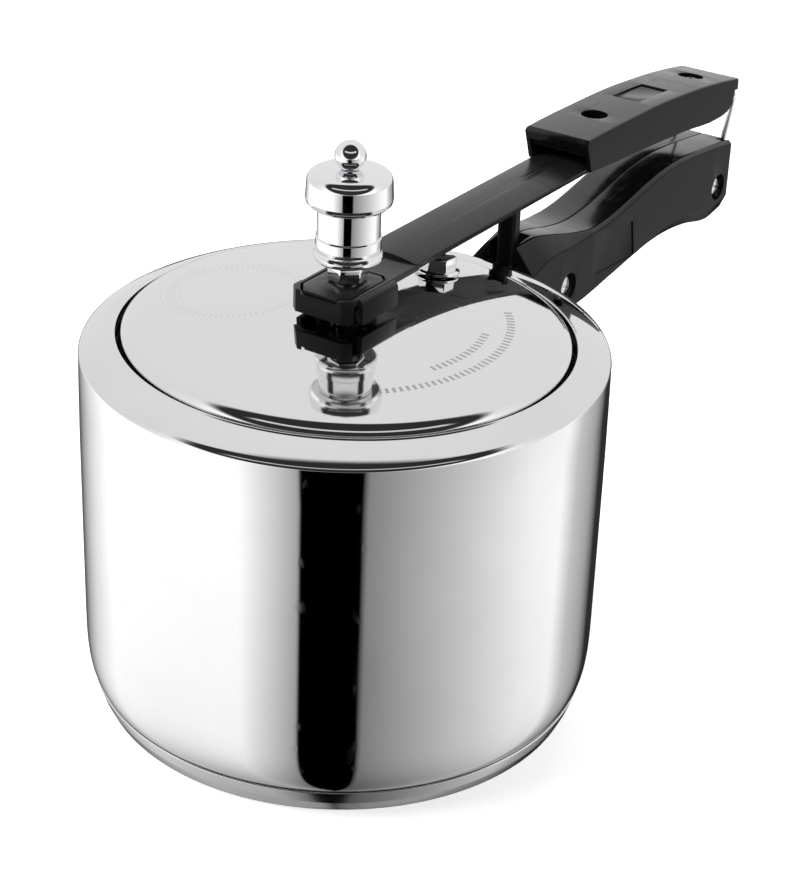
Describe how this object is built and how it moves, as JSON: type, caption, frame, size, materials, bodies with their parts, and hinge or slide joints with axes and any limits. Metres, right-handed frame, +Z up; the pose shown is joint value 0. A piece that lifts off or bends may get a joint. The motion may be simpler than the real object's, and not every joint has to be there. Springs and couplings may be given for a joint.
{
  "type": "stovetop pressure cooker",
  "caption": "Short round steel pressure cooker with an inner lid hung from a rocking lever bar, a long lower handle, a grip on the bar and a lift-off vent weight.",
  "frame": {"origin": "centre of the base's underside, on the axis of the round vessel", "axes": "+X along the handles away from the vessel, +Z up, +Y completes the right-handed frame"},
  "size_m": [0.3553, 0.1804, 0.2035],
  "materials": {
    "polished_steel": "mirror-polished stainless steel",
    "lid_steel": "satin-polished stainless steel with fine circular brushing",
    "base_steel": "polished stainless steel with turning marks",
    "aluminium_core": "plain bonded aluminium",
    "black_steel": "satin black coated steel",
    "bakelite": "moulded black phenolic, semi-gloss",
    "rubber": "black rubber sealing ring",
    "chrome": "bright chrome on brass",
    "zinc_steel": "bright zinc-plated steel",
    "fusible_metal": "dull low-melting alloy"
  },
  "bodies": {
    "vessel": {"vessel": "polished_steel", "base_core": "aluminium_core", "base_cap": "base_steel", "handle_bracket": "black_steel", "fulcrum_pin": "zinc_steel", "body_handle_near": "bakelite", "body_handle_far": "bakelite", "handle_screw_front": "zinc_steel", "handle_screw_rear": "zinc_steel", "handle_nut_front": "zinc_steel", "handle_nut_rear": "zinc_steel"},
    "loop": {"locking_loop": "chrome"},
    "lever": {"lever_bar": "black_steel", "fulcrum_post": "black_steel", "lid_grip": "bakelite", "grip_screw_front": "zinc_steel", "grip_screw_rear": "zinc_steel", "grip_nut_front": "zinc_steel", "grip_nut_rear": "zinc_steel", "pivot_pin_near": "zinc_steel", "pivot_pin_far": "zinc_steel"},
    "lid": {"lid_plate": "lid_steel", "gasket": "rubber", "lid_bracket": "black_steel", "vent_pipe": "chrome", "vent_nut": "chrome", "vent_washer": "zinc_steel", "vent_lock_nut": "zinc_steel", "safety_valve_body": "chrome", "fusible_plug": "fusible_metal", "safety_valve_washer": "rubber", "safety_valve_nut": "zinc_steel"},
    "weight": {"weight_body": "chrome", "weight_cap": "chrome", "weight_knob": "chrome"}
  },
  "joints": [
    {"name": "lever_tilt", "type": "hinge", "parent": "vessel", "child": "lever", "pos_m": [0.105, 0, 0.122], "axis": [0, -1, 0], "range_deg": [0, 5]},
    {"name": "lid_level", "type": "hinge", "parent": "lever", "child": "lid", "pos_m": [0, 0, 0.1498], "axis": [0, -1, 0], "range_deg": [-5, 0]},
    {"name": "loop_swing", "type": "hinge", "parent": "vessel", "child": "loop", "pos_m": [0.2604, 0, 0.1215], "axis": [0, 1, 0], "range_deg": [0, 70]},
    {"name": "weight_lift", "type": "slide", "parent": "lid", "child": "weight", "axis": [0, 0, 1], "range_m": [0, 0.03]}
  ],
  "couplings": [
    {"joint": "lid_level", "follows": "lever_tilt", "ratio": -1},
    {"joint": "loop_swing", "follows": "lever_tilt", "ratio": 14}
  ]
}
